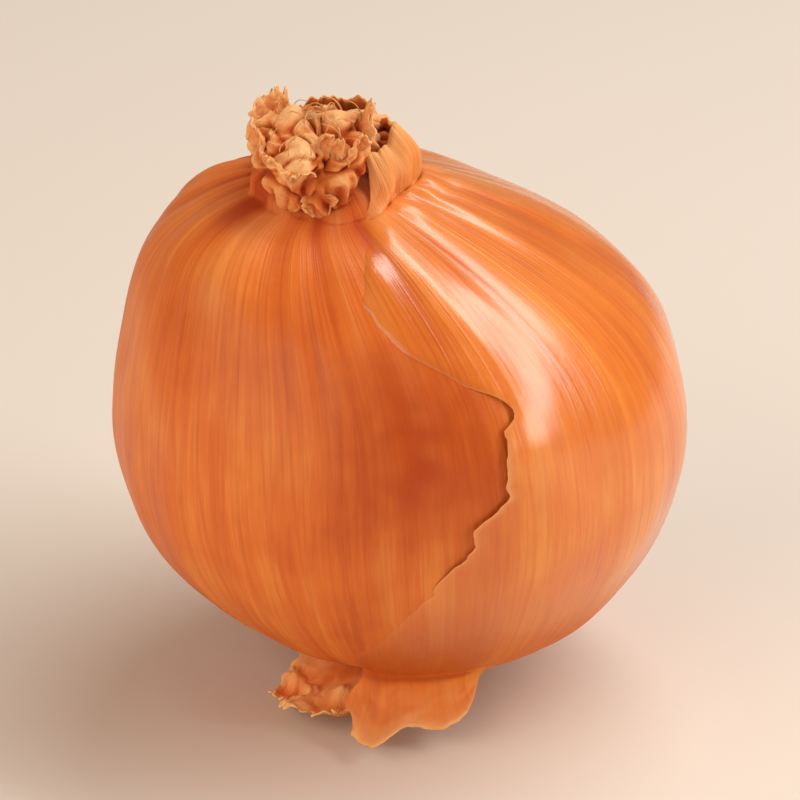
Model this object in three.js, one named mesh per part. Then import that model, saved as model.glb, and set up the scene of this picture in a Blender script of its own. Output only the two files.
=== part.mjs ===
// A dry yellow onion that stands on the flattened tuft of its dried roots.
// Millimetres, +Z up. The origin is the centre of the flat spot that the onion rests on.
// Azimuths are measured from +X towards +Y, so the front of the onion faces -Y.

import * as THREE from 'three';

// Clearances
const TOUCH_GAP = 0.3; // between two pieces that touch

// Roots: a tuft pressed flat under the root plate
const REST_RADIUS = 9.5; // flat spot at z = 0
const TUFT_RADIUS = 11.2; // widest ring of the tuft
const TUFT_HEIGHT = 3.7;
const TUFT_WIDEST_AT = 1.3; // height of the widest ring
const TUFT_BEVEL = 0.3; // how much narrower the tuft is halfway down from there
const TUFT_STRANDS = 11; // bundles that show as waves around the rim
const TUFT_WAVE = 0.06; // share of the radius

// Bulb
const ROOT_PLATE_RADIUS = 8;
const EQUATOR_RADIUS = 34.6;
const BELLY_DROP = 31; // equator down to where the belly would close
const SHOULDER_RISE = 31; // equator up to where the shoulders would close
const BELLY_FULLNESS = 2.06; // 2 is an ellipse, more is squarer
const SHOULDER_FULLNESS = 2.25;
const OVAL_SHARE = 0.012; // two-sided bulge around the axis
const OVAL_TOWARDS = THREE.MathUtils.degToRad(-18);
const TRIANGLE_SHARE = 0.007; // three-sided bulge around the axis
const TRIANGLE_TOWARDS = THREE.MathUtils.degToRad(-62);

// Neck
const NECK_RADIUS = 9.4;
const NECK_RISE = 39.5; // equator up to the rim of the neck, at its back
const NECK_FLARE = 11; // reach of the curve that joins the neck to the shoulders
const NECK_HOLLOW = 3.2; // depth of the dried hollow in its top
const NECK_RIM = 2.6; // width of the rim around that hollow
const NECK_PINCH = 0.3; // how much its top is pressed flat, front to back
const BELLY_LEAN = 1.2; // how far the equator stands to the left of the root plate
const NECK_LEAN = 8.4; // how far the neck stands to the left of the equator
const LEAN_SHARPNESS = 4.5; // more keeps the neck's lean nearer the neck
const CREASES = 5;
const CREASE_SHARE = 0.07; // depth of the creases, as a share of the radius
const RIM_RISE = 2; // the left of the rim stands higher than the right by twice this
const NECK_SLANT = 7; // the front of the rim stands lower than the back by this
const SLANT_START = 0.84; // where the slant begins, in shoulder rises over the equator

// Dry outer skin: one torn sheet over the right side and the back
const SKIN_THICKNESS = 0.3;
const SKIN_FOOT_RADIUS = 20.5; // where its lower hem lies on the belly
const SKIN_TOP_DROP = 1.6; // how far its top edge stays below the rim of the neck
const FLAP_REACH = 28.5; // how far from the axis the torn flap at its foot ends
const FLAP_TIP_HEIGHT = 1.5;
const FLAP_BEND_RADIUS = 18; // the point that the flap's curl bends around
const FLAP_BEND_HEIGHT = 3.2;
const FLAP_SHARE = 0.2; // share of the sheet's rows that the flap takes
const FLAP_TUCK = 1 / 3; // how much further than its foot the untorn hem runs under the belly, as a share
const FLAP_START = THREE.MathUtils.degToRad(-103); // its longest side, on the front torn edge
const FLAP_TURN = THREE.MathUtils.degToRad(42); // from there its rounded edge climbs back to the belly
// Torn edges, as [height over the equator in shoulder rises, azimuth in degrees]
const FRONT_TEAR = [[-0.8, -103], [-0.1, -76], [0.3, -66], [0.75, -83], [1.15, -68]];
const BACK_TEAR = [[-0.8, 118], [-0.3, 132], [0.2, 123], [0.7, 137], [1.2, 112]];

// Scrap of an older skin at the foot
const SCRAP_AZIMUTH = THREE.MathUtils.degToRad(-125);
const SCRAP_THICKNESS = 0.4;
const SCRAP_ROOT_RADIUS = 15.5;
const SCRAP_TIP_RADIUS = 23.6;
const SCRAP_WIDTH = 10;
const SCRAP_TIP_WIDTH = 6.5;
const SCRAP_TIP_HEIGHT = 2;
const SCRAP_SAG = 1.2; // how far its middle hangs under a straight line

// Colours and roughness of the dry skins and roots
const BULB_LOOK = { color: 0xd27a3e, roughness: 0.5, metalness: 0 };
const SKIN_LOOK = { color: 0xe08a48, roughness: 0.3, metalness: 0 };
const SCRAP_LOOK = { color: 0xd98a5a, roughness: 0.7, metalness: 0 };
const ROOT_LOOK = { color: 0x8a7355, roughness: 0.9, metalness: 0 };

// Fineness of the meshes
const AROUND = 52;
const RINGS = 34;
const SEGMENTS_PER_STRAND = 4;
const SKIN_COLUMNS = 34;
const SKIN_ROWS = 30;
const SCRAP_CELLS = 8;
const OUTLINE_SAMPLES = 60;
const OUTLINE_STEP = 1 / (OUTLINE_SAMPLES * OUTLINE_SAMPLES); // step of a search along the outline

const PLATE_HEIGHT = TUFT_HEIGHT + TOUCH_GAP;
const BELLY_DEPTH = BELLY_DROP * fullness(ROOT_PLATE_RADIUS / EQUATOR_RADIUS, BELLY_FULLNESS);
const EQUATOR_HEIGHT = PLATE_HEIGHT + BELLY_DEPTH;
const RIM_HEIGHT = EQUATOR_HEIGHT + NECK_RISE;
const SHOULDER_TOP = EQUATOR_HEIGHT + SHOULDER_RISE;

// The other half-axis of a rounded square of the given power, for a share of the first.
function fullness(share, power) {
  return Math.pow(Math.max(0, 1 - Math.pow(Math.abs(share), power)), 1 / power);
}

// 0 below start, 1 above end and a smooth rise between them.
function ease(value, start, end) {
  return THREE.MathUtils.smoothstep(value, start, end);
}

// The larger of two numbers, with a rounded change from one to the other.
function softMax(a, b, reach) {
  const share = Math.max(0, reach - Math.abs(a - b)) / reach;
  return Math.max(a, b) + (share * share * reach) / 4;
}

// Value of a list of [place, value] stops, eased from each stop to the next.
function along(stops, place) {
  let value = stops[0][1];
  for (let i = 1; i < stops.length; i += 1) {
    const step = stops[i][1] - stops[i - 1][1];
    value += step * ease(place, stops[i - 1][0], stops[i][0]);
  }
  return value;
}

// Radius of the bulb and its neck at a height, before it leans or bulges.
function radiusAt(height) {
  const rise = height - EQUATOR_HEIGHT;
  if (rise <= 0) return EQUATOR_RADIUS * fullness(rise / BELLY_DROP, BELLY_FULLNESS);
  const body = EQUATOR_RADIUS * fullness(rise / SHOULDER_RISE, SHOULDER_FULLNESS);
  return softMax(body, NECK_RADIUS, NECK_FLARE);
}

// Outline of one side, from the edge of the root plate to the rim of the neck.
function makeOutline() {
  const points = [];
  for (let i = 0; i <= OUTLINE_SAMPLES; i += 1) {
    const share = (1 - Math.cos((Math.PI * i) / OUTLINE_SAMPLES)) / 2;
    const height = THREE.MathUtils.lerp(PLATE_HEIGHT, RIM_HEIGHT, share);
    points.push(new THREE.Vector2(radiusAt(height), height));
  }
  return new THREE.SplineCurve(points);
}

// The grown shape: takes a point of the round outline and leans, bulges and creases it.
function grow(radius, azimuth, height) {
  const neck = ease(height, SHOULDER_TOP - NECK_FLARE, SHOULDER_TOP);
  const top = ease(height, SHOULDER_TOP, RIM_HEIGHT);
  const oval = OVAL_SHARE * Math.cos(2 * (azimuth - OVAL_TOWARDS));
  const triangle = TRIANGLE_SHARE * Math.cos(3 * (azimuth - TRIANGLE_TOWARDS));
  const crease = neck * CREASE_SHARE * Math.cos(CREASES * azimuth);
  const grown = radius * (1 + oval + triangle + crease);
  const climb = Math.pow(Math.min(1, height / SHOULDER_TOP), LEAN_SHARPNESS);
  const lean = BELLY_LEAN * ease(height, 0, EQUATOR_HEIGHT) + NECK_LEAN * ease(climb, 0, 1);
  const rimShare = (top * radius) / NECK_RADIUS;
  const slantFrom = EQUATOR_HEIGHT + SLANT_START * SHOULDER_RISE;
  const slantShare = (ease(height, slantFrom, RIM_HEIGHT) * Math.min(radius, NECK_RADIUS)) / NECK_RADIUS;
  const frontShare = Math.pow(Math.max(0, -Math.sin(azimuth)), 2);
  return new THREE.Vector3(
    grown * Math.cos(azimuth) - lean,
    grown * Math.sin(azimuth) * (1 - NECK_PINCH * top),
    height - rimShare * RIM_RISE * Math.cos(azimuth) - slantShare * frontShare * NECK_SLANT,
  );
}

// Moves every vertex of a geometry to the place that the function gives for it.
function reshape(geometry, move) {
  const place = geometry.attributes.position;
  const vertex = new THREE.Vector3();
  for (let i = 0; i < place.count; i += 1) {
    vertex.fromBufferAttribute(place, i);
    const moved = move(vertex);
    place.setXYZ(i, moved.x, moved.y, moved.z);
  }
  geometry.computeVertexNormals();
  return geometry;
}

// A turned solid with its axis along Z, reshaped by a function of radius, azimuth and height.
function turned(profile, segments, shape) {
  const geometry = new THREE.LatheGeometry(profile, segments).rotateX(Math.PI / 2);
  return reshape(geometry, (v) => shape(Math.hypot(v.x, v.y), Math.atan2(v.y, v.x), v.z));
}

// A thin sheet whose face is a function of (across, along, lift off the bulb), each share from 0 to 1.
function sheet(columns, rows, thickness, face) {
  const geometry = new THREE.BoxGeometry(1, 1, 1, columns, rows, 1);
  return reshape(geometry, (v) => face(v.x + 0.5, v.y + 0.5, TOUCH_GAP + (v.z + 0.5) * thickness));
}

function named(name, geometry, look) {
  const mesh = new THREE.Mesh(geometry, new THREE.MeshStandardMaterial(look));
  mesh.name = name;
  return mesh;
}

const outline = makeOutline();

// Share of the outline's length at which its belly has the given radius.
function shareAtRadius(radius) {
  let share = 0;
  while (outline.getPointAt(share).x < radius) share += OUTLINE_STEP;
  return share;
}

// Share of the outline's length at the given height.
function shareAtHeight(height) {
  let share = 0;
  while (outline.getPointAt(share).y < height) share += OUTLINE_STEP;
  return share;
}

// Point of the round outline, lifted off along its own normal.
function lifted(share, lift) {
  const point = outline.getPointAt(share);
  const run = outline.getTangentAt(share);
  return new THREE.Vector2(point.x + run.y * lift, point.y - run.x * lift);
}

function makeBulb() {
  const side = outline.getSpacedPoints(RINGS);
  const profile = [
    new THREE.Vector2(0, PLATE_HEIGHT),
    new THREE.Vector2(ROOT_PLATE_RADIUS / 2, PLATE_HEIGHT),
    ...side,
    new THREE.Vector2(NECK_RADIUS - NECK_RIM, RIM_HEIGHT - NECK_RIM / 2),
    new THREE.Vector2((NECK_RADIUS - NECK_RIM) / 2, RIM_HEIGHT - NECK_HOLLOW),
    new THREE.Vector2(0, RIM_HEIGHT - NECK_HOLLOW),
  ];
  return named('bulb', turned(profile, AROUND, grow), BULB_LOOK);
}

function makeOuterSkin() {
  const foot = shareAtRadius(SKIN_FOOT_RADIUS);
  const top = shareAtHeight(RIM_HEIGHT - SKIN_TOP_DROP);
  const face = (across, upward, lift) => {
    const curl = Math.max(0, 1 - upward / FLAP_SHARE); // 1 at the tip of the flap
    const share = THREE.MathUtils.lerp(foot, top, Math.max(0, (upward - FLAP_SHARE) / (1 - FLAP_SHARE)));
    const onBelly = lifted(share, lift);
    const height = (onBelly.y - EQUATOR_HEIGHT) / SHOULDER_RISE;
    const front = THREE.MathUtils.degToRad(along(FRONT_TEAR, height));
    const back = THREE.MathUtils.degToRad(along(BACK_TEAR, height));
    const azimuth = THREE.MathUtils.lerp(front, back, across);
    const hem = lifted(foot * (1 - curl * FLAP_TUCK), lift);
    const start = lifted(foot, lift);
    const bend = new THREE.Vector2(FLAP_BEND_RADIUS, FLAP_BEND_HEIGHT - lift);
    const tip = new THREE.Vector2(FLAP_REACH, FLAP_TIP_HEIGHT + SKIN_THICKNESS + TOUCH_GAP - lift);
    const curled = new THREE.QuadraticBezierCurve(start, bend, tip).getPoint(curl);
    const torn = fullness(THREE.MathUtils.clamp((azimuth - FLAP_START) / FLAP_TURN, 0, 1), 2);
    const edge = hem.lerp(curled, torn);
    const point = curl > 0 ? edge : onBelly;
    return grow(point.x, azimuth, point.y);
  };
  return named('outer_skin', sheet(SKIN_COLUMNS, SKIN_ROWS, SKIN_THICKNESS, face), SKIN_LOOK);
}

function makeSkinScrap() {
  const root = shareAtRadius(SCRAP_ROOT_RADIUS);
  const face = (across, outward, lift) => {
    const start = lifted(root, lift);
    const radius = THREE.MathUtils.lerp(start.x, SCRAP_TIP_RADIUS, outward);
    const tipHeight = SCRAP_TIP_HEIGHT + SCRAP_THICKNESS + TOUCH_GAP - lift;
    const line = THREE.MathUtils.lerp(start.y, tipHeight, outward);
    const sag = SCRAP_SAG * Math.sin(Math.PI * outward);
    const width = THREE.MathUtils.lerp(SCRAP_WIDTH, SCRAP_TIP_WIDTH, outward);
    const azimuth = SCRAP_AZIMUTH + ((across - 0.5) * width) / radius;
    return grow(radius, azimuth, line - sag);
  };
  return named('skin_scrap', sheet(SCRAP_CELLS, SCRAP_CELLS, SCRAP_THICKNESS, face), SCRAP_LOOK);
}

function makeRootTuft() {
  const profile = [
    new THREE.Vector2(0, 0),
    new THREE.Vector2(REST_RADIUS, 0),
    new THREE.Vector2(TUFT_RADIUS - TUFT_BEVEL, TUFT_WIDEST_AT / 2),
    new THREE.Vector2(TUFT_RADIUS, TUFT_WIDEST_AT),
    new THREE.Vector2((TUFT_RADIUS + ROOT_PLATE_RADIUS) / 2, (TUFT_HEIGHT + TUFT_WIDEST_AT) / 2),
    new THREE.Vector2(ROOT_PLATE_RADIUS, TUFT_HEIGHT),
    new THREE.Vector2(0, TUFT_HEIGHT),
  ];
  const shape = (radius, azimuth, height) => {
    const wave = TUFT_WAVE * Math.sin(TUFT_STRANDS * azimuth) * ease(height, 0, TUFT_WIDEST_AT);
    const waved = radius * (1 + wave);
    return new THREE.Vector3(waved * Math.cos(azimuth), waved * Math.sin(azimuth), height);
  };
  return named('root_tuft', turned(profile, SEGMENTS_PER_STRAND * TUFT_STRANDS, shape), ROOT_LOOK);
}

const group = new THREE.Group();
group.add(makeBulb(), makeOuterSkin(), makeSkinScrap(), makeRootTuft());

export default group;
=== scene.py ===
"""A dry yellow onion that stands on its roots.

The bulb, its torn outer skin, its dried neck, a scrap of older skin at the foot and the root tuft are
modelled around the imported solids, in metres and in their frame. The front of the onion faces -Y.
"""

import logging
import math
import random
from collections.abc import Sequence
from dataclasses import dataclass, field
from enum import Enum, IntEnum

import bmesh
import bpy
import numpy as np
from mathutils import Matrix, Vector, noise


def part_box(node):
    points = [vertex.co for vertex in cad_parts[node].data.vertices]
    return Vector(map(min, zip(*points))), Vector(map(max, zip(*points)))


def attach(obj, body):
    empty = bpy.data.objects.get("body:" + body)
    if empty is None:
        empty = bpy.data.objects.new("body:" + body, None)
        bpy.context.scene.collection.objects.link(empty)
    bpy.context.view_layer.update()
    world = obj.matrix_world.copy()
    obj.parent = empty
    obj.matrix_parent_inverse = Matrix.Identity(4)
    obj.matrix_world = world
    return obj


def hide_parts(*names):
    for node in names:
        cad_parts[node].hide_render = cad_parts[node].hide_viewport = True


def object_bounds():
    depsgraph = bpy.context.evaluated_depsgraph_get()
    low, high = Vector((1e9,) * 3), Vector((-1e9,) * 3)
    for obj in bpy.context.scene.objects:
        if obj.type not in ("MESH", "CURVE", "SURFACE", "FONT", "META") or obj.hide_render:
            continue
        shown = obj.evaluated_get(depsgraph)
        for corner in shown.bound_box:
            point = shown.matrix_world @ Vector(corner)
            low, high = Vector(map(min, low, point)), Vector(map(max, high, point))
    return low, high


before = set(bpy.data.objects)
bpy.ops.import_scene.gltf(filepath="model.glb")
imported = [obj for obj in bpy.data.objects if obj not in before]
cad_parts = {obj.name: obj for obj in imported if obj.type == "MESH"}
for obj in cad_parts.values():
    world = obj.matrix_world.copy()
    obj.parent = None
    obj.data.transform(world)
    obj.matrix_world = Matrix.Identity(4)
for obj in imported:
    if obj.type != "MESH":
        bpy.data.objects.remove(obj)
cad_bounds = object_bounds()

MM = 0.001
BODY = "root"
HEART = (-5 * MM, 0, 34 * MM)
log = logging.getLogger("onion")


class Slot(Enum):
    """The record's material slots."""

    BULB_SKIN = "bulb_skin"
    OUTER_SKIN = "outer_skin"
    DRY_SCRAP = "dry_scrap"
    DRY_ROOT = "dry_root"


class Pattern(IntEnum):
    """Which lumps a call of rough gives. Details of different sizes may share a pattern."""

    SWELL = 2
    BROAD_RIBS = 3
    SMALL_SWELL = 4
    FINE_RIBS = 5
    BROAD_PLEATS = 8
    FINE_PLEATS = 9
    PATCH_RIM = 9
    PATCH_SPECKS = 10
    FRONT_TEAR = 11
    BACK_TEAR = 14
    EDGE_WAVES = 21
    LOOSE_SKIN = 23
    NECK_FOLDS = 25
    FLAP_WAVES = 31
    FLAP_CREASES = 32
    FLAP_EDGE = 33
    FLAP_NICKS = 34
    TOP_EDGE = 35
    TOP_NICKS = 36
    FREE_SIDE = 37
    FREE_SIDE_NICKS = 38
    KNOT_DRIFT = 70
    KNOT_BROAD = 74
    KNOT_FOLDS = 76
    KNOT_SMALL = 78
    KNOT_CRUMBS = 80
    SCRAP_EDGE = 81
    KNOT_CREASES = 82
    SCRAP_NICKS = 82
    SCRAP_SIDE = 83
    SCRAP_SIDE_NICKS = 84
    SCRAP_CRUMPLE = 85
    SCRAP_CREASES = 86
    PLATE_KNOBS = 91
    PLATE_GRAIN = 92


# ---------------------------------------------------------------- curves and noise


def ease(value: np.ndarray, start: float, end: float) -> np.ndarray:
    """Rises smoothly from 0 at start to 1 at end.

    Args:
        value: The places to look at.
        start: Where the rise begins.
        end: Where the rise ends.

    Returns:
        One share for each value.
    """
    share = np.clip((np.asarray(value, float) - start) / (end - start), 0, 1)
    return share * share * (3 - 2 * share)


def through(stops: Sequence[tuple[float, float]], place: np.ndarray) -> np.ndarray:
    """Follows a smooth curve through a list of stops.

    Args:
        stops: Pairs of place and value, in rising order of place.
        place: The places to look at.

    Returns:
        The curve's value at each place.
    """
    at, value = np.array(stops, float).T
    slope = np.gradient(value, at)
    i = np.clip(np.searchsorted(at, place) - 1, 0, len(at) - 2)
    gap = at[i + 1] - at[i]
    t = np.clip((place - at[i]) / gap, 0, 1)
    start = (2 * t**3 - 3 * t**2 + 1) * value[i] + (t**3 - 2 * t**2 + t) * gap * slope[i]
    end = (3 * t**2 - 2 * t**3) * value[i + 1] + (t**3 - t**2) * gap * slope[i + 1]
    return start + end


def fullness(share: np.ndarray, power: float) -> np.ndarray:
    """The other half-axis of a rounded square of the given power, for a share of the first."""
    return np.maximum(0, 1 - np.abs(share) ** power) ** (1 / power)


def bump(value: np.ndarray, middle: float, reach: float) -> np.ndarray:
    """A bell of height 1 around the middle."""
    return np.exp(-(((np.asarray(value, float) - middle) / reach) ** 2))


def ridges(lumps: np.ndarray, sharpness: float) -> np.ndarray:
    """1 along the lines where lumps change sign, less away from them."""
    return 1 - np.abs(lumps) * sharpness


def spot(azimuth: np.ndarray, rise: np.ndarray, at: tuple[float, float],
         half: tuple[float, float]) -> np.ndarray:
    """A bell of height 1 around one azimuth and rise."""
    return bump(azimuth, at[0], half[0]) * bump(rise, at[1], half[1])


def fade(distance: np.ndarray, reach: float) -> np.ndarray:
    """Falls off from 1 as the distance grows."""
    return np.exp(-distance / reach)


def beside(values: np.ndarray, second: np.ndarray | float = 0.0) -> np.ndarray:
    """Makes points of one or two rows of values, for a pattern along a line."""
    return np.stack([values, np.zeros_like(values) + second, np.zeros_like(values)], axis=1)


def rough(places: np.ndarray, size: float | tuple[float, float, float], seed: int) -> np.ndarray:
    """Smooth lumps from about -1 to 1.

    Args:
        places: Points, one row each.
        size: How far apart the lumps lie, for all axes or for each.
        seed: Picks another pattern.

    Returns:
        One value for each point.
    """
    shift = np.array([17.3, 5.9, 29.1]) * seed
    scaled = places / np.array(size) + shift
    return np.array([noise.noise(Vector(p)) for p in scaled]) * 2


# ---------------------------------------------------------------- the grown form


@dataclass(frozen=True)
class BulbForm:
    """The grown shape of the bulb and its neck, which every skin follows.

    Azimuths are in radians from +X towards +Y. Heights are over the floor, and a rise is a height over
    the equator.
    """

    plate_height: float
    rim_height: float
    plate_radius: float = 8.0 * MM
    equator_radius: float = 34.6 * MM
    belly_drop: float = 31.0 * MM
    shoulder_rise: float = 31.0 * MM
    belly_fullness: float = 2.06
    shoulder_fullness: float = 2.25
    neck_radius: float = 9.4 * MM
    neck_rise: float = 39.5 * MM
    neck_flare: float = 11.0 * MM
    neck_pinch: float = 0.3
    belly_lean: float = 1.2 * MM
    neck_lean: float = 8.4 * MM
    lean_sharpness: float = 4.5
    oval_share: float = 0.012
    oval_towards: float = math.radians(-18)
    triangle_share: float = 0.007
    triangle_towards: float = math.radians(-62)
    crease_share: float = 0.07
    creases: int = 5
    rim_rise: float = 2.0 * MM
    neck_slant: float = 7.0 * MM
    slant_start: float = 0.84
    broad_rib: float = 0.11 * MM
    fine_rib: float = 0.018 * MM
    pleat_depth: float = 0.42 * MM
    pleat_run: float = 60.0 * MM
    grain_squeeze: float = 0.12
    swelling: float = 0.3 * MM
    dry_foot: tuple[float, float] = (10 * MM, 23 * MM)
    samples: int = 900
    table: dict[str, np.ndarray] = field(default_factory=dict, compare=False)

    @classmethod
    def from_frame(cls) -> "BulbForm":
        """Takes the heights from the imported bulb."""
        low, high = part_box("bulb")
        form = cls(plate_height=low.z, rim_height=high.z - cls.rim_rise)
        form.fill_table()
        return form

    @property
    def equator(self) -> float:
        """Height of the widest ring."""
        return self.rim_height - self.neck_rise

    @property
    def shoulder_top(self) -> float:
        """Height at which the shoulders would close without a neck."""
        return self.equator + self.shoulder_rise

    def radius_at(self, height: np.ndarray) -> np.ndarray:
        """Radius of the round outline at each height."""
        rise = np.asarray(height, float) - self.equator
        belly = self.equator_radius * fullness(np.clip(rise / self.belly_drop, -1, 0), self.belly_fullness)
        climb = np.clip(rise / self.shoulder_rise, 0, 1)
        body = self.equator_radius * fullness(climb, self.shoulder_fullness)
        near = np.maximum(0, self.neck_flare - np.abs(body - self.neck_radius)) / self.neck_flare
        upper = np.maximum(body, self.neck_radius) + near * near * self.neck_flare / 4
        return np.where(rise <= 0, belly, upper)

    def fill_table(self) -> None:
        """Tabulates the outline by its share of length, from the root plate to the rim."""
        share = (1 - np.cos(np.linspace(0, math.pi, self.samples))) / 2
        height = self.plate_height + (self.rim_height - self.plate_height) * share
        radius = self.radius_at(height)
        step = np.hypot(np.diff(radius), np.diff(height))
        length = np.concatenate([[0], np.cumsum(step)])
        run = np.stack([np.gradient(radius, length), np.gradient(height, length)])
        run /= np.hypot(*run)
        self.table.update(share=length / length[-1], radius=radius, height=height, run=run)

    def share_at_radius(self, radius: float) -> float:
        """Share of the outline at which the belly has the given radius."""
        belly = self.table["height"] <= self.equator
        return float(np.interp(radius, self.table["radius"][belly], self.table["share"][belly]))

    def share_at_height(self, height: float) -> float:
        """Share of the outline at the given height."""
        return float(np.interp(height, self.table["height"], self.table["share"]))

    def lifted(self, share: np.ndarray, lift: np.ndarray | float) -> tuple[np.ndarray, np.ndarray]:
        """Radius and height at a share of the outline, lifted off along its normal."""
        known = self.table["share"]
        radius = np.interp(share, known, self.table["radius"])
        height = np.interp(share, known, self.table["height"])
        out = np.interp(share, known, self.table["run"][1])
        down = np.interp(share, known, self.table["run"][0])
        return radius + out * lift, height - down * lift

    def lean_at(self, height: np.ndarray) -> np.ndarray:
        """How far the ring at each height stands to the left of the root plate."""
        climb = np.clip(height / self.shoulder_top, 0, 1) ** self.lean_sharpness
        return self.belly_lean * ease(height, 0, self.equator) + self.neck_lean * ease(climb, 0, 1)

    def grow(self, radius: np.ndarray, azimuth: np.ndarray, height: np.ndarray) -> np.ndarray:
        """Leans, bulges and creases points of the round outline.

        Args:
            radius: Radius of each point.
            azimuth: Azimuth of each point.
            height: Height of each point.

        Returns:
            The places, one row each.
        """
        neck = ease(height, self.shoulder_top - self.neck_flare, self.shoulder_top)
        top = ease(height, self.shoulder_top, self.rim_height)
        oval = self.oval_share * np.cos(2 * (azimuth - self.oval_towards))
        triangle = self.triangle_share * np.cos(3 * (azimuth - self.triangle_towards))
        crease = neck * self.crease_share * np.cos(self.creases * azimuth)
        grown = radius * (1 + oval + triangle + crease)
        x = grown * np.cos(azimuth) - self.lean_at(height)
        y = grown * np.sin(azimuth) * (1 - self.neck_pinch * top)
        slant = ease(height, self.equator + self.slant_start * self.shoulder_rise, self.rim_height)
        slant = slant * np.minimum(radius, self.neck_radius) / self.neck_radius
        slant = slant * np.clip(-np.sin(azimuth), 0, 1) ** 2
        tilt = top * radius / self.neck_radius * self.rim_rise * np.cos(azimuth)
        z = height - tilt - slant * self.neck_slant
        return np.stack([x, y, z], axis=1)

    def grain(self, azimuth: np.ndarray, height: np.ndarray) -> np.ndarray:
        """Coordinates in which a pattern runs from the roots to the neck in lines.

        Args:
            azimuth: Azimuth of each point.
            height: Height of each point.

        Returns:
            Points on a unit cylinder whose height is squeezed, one row each.
        """
        climb = (height - self.plate_height) / (self.rim_height - self.plate_height)
        return np.stack([np.cos(azimuth), np.sin(azimuth), climb * self.grain_squeeze], axis=1)

    def pleats(self, azimuth: np.ndarray, height: np.ndarray) -> np.ndarray:
        """The pleats that run down the shoulders from the neck, from about -1 to 1."""
        lines = np.stack([np.cos(azimuth), np.sin(azimuth), height / self.pleat_run], axis=1)
        near = bump(height, self.shoulder_top + 1 * MM, 9 * MM)
        broad = rough(lines, (0.3, 0.3, 0.25), Pattern.BROAD_PLEATS)
        fine = rough(lines, (0.12, 0.12, 0.2), Pattern.FINE_PLEATS)
        return (broad + 0.6 * fine) * near

    def ribs(self, azimuth: np.ndarray, height: np.ndarray) -> np.ndarray:
        """Height of the soft ribs that run from the roots to the neck."""
        lines = self.grain(azimuth, height)
        broad = rough(lines, (0.19, 0.19, 0.09), Pattern.BROAD_RIBS) * self.broad_rib
        fine = rough(lines, (0.05, 0.05, 0.06), Pattern.FINE_RIBS) * self.fine_rib
        foot = ease(height, self.plate_height, self.plate_height + 5 * MM)
        return (broad + fine) * foot + self.pleat_depth * self.pleats(azimuth, height)

    def swell(self, places: np.ndarray) -> np.ndarray:
        """Height of the wide lumps of the bulb, which every skin shows."""
        return rough(places, 17 * MM, Pattern.SWELL) * self.swelling


# ---------------------------------------------------------------- mesh tools


class Shape:
    """A bmesh in the making, read and moved as an array of places."""

    def __init__(self) -> None:
        """Starts with no faces."""
        self.bm = bmesh.new()
        self.marks: dict[str, np.ndarray] = {}

    @classmethod
    def tube(cls, rings: int, steps: int) -> "Shape":
        """A closed unit tube around Z, from 0 to 1, whose ends run in to the axis.

        Args:
            rings: Rings from the foot to the top, with both poles.
            steps: Faces around.
        """
        shape = cls()
        ends = [shape.bm.verts.new((0, 0, 0)), shape.bm.verts.new((0, 0, 1))]
        edge = shape.bm.edges.new(ends)
        bmesh.ops.subdivide_edges(shape.bm, edges=[edge], cuts=rings - 2)
        for vert in shape.bm.verts:
            vert.co.x = 0 if vert in ends else 1
        bmesh.ops.spin(shape.bm, geom=shape.bm.verts[:] + shape.bm.edges[:], cent=(0, 0, 0), axis=(0, 0, 1),
                       angle=math.tau, steps=steps, use_merge=True)
        bmesh.ops.remove_doubles(shape.bm, verts=shape.bm.verts[:], dist=1e-5)
        bmesh.ops.recalc_face_normals(shape.bm, faces=shape.bm.faces[:])
        return shape

    @classmethod
    def sheet(cls, columns: int, rows: int) -> "Shape":
        """A flat sheet whose places run from 0 to 1 across and upwards."""
        shape = cls()
        bmesh.ops.create_grid(shape.bm, x_segments=columns, y_segments=rows, size=0.5)
        bmesh.ops.translate(shape.bm, verts=shape.bm.verts[:], vec=(0.5, 0.5, 0))
        return shape

    def places(self) -> np.ndarray:
        """Every vertex's place, one row each."""
        return np.array([vert.co[:] for vert in self.bm.verts])

    def move(self, places: np.ndarray) -> None:
        """Puts every vertex at its new place."""
        for vert, place in zip(self.bm.verts, places):
            vert.co = place

    def face_out(self) -> None:
        """Turns the faces of a sheet away from the heart of the onion."""
        self.bm.normal_update()
        outward = sum(face.normal.dot(face.calc_center_median() - Vector(HEART)) for face in self.bm.faces)
        if outward < 0:
            bmesh.ops.reverse_faces(self.bm, faces=self.bm.faces[:])

    def finish(self, name: str, material: bpy.types.Material) -> bpy.types.Object:
        """Makes the object, with its marks as point attributes.

        Args:
            name: The piece's name.
            material: Its finish.

        Returns:
            The new object, smooth-shaded, at the origin.
        """
        mesh = bpy.data.meshes.new(name)
        self.bm.to_mesh(mesh)
        self.bm.free()
        for mark, values in self.marks.items():
            kind, part = ("FLOAT_VECTOR", "vector") if values.ndim == 2 else ("FLOAT", "value")
            attribute = mesh.attributes.new(mark, kind, "POINT")
            attribute.data.foreach_set(part, np.ascontiguousarray(values, np.float32).ravel())
        mesh.polygons.foreach_set("use_smooth", [True] * len(mesh.polygons))
        mesh.materials.append(material)
        piece = bpy.data.objects.new(name, mesh)
        bpy.context.scene.collection.objects.link(piece)
        return piece


def thicken(piece: bpy.types.Object, thickness: float, offset: float = 1.0) -> None:
    """Gives a sheet its thickness.

    Args:
        piece: The sheet.
        thickness: How thick it is.
        offset: 1 puts the thickness outside the sheet, -1 inside.
    """
    wall = piece.modifiers.new("wall", "SOLIDIFY")
    wall.thickness = thickness
    wall.offset = offset
    wall.use_even_offset = False


def place_piece(piece: bpy.types.Object, slot: Slot, *replaced: str) -> bpy.types.Object:
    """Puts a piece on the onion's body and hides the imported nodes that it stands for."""
    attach(piece, BODY)
    if replaced:
        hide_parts(*replaced)
    log.info("%s: %d faces", piece.name, len(piece.data.polygons))
    return piece


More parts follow.
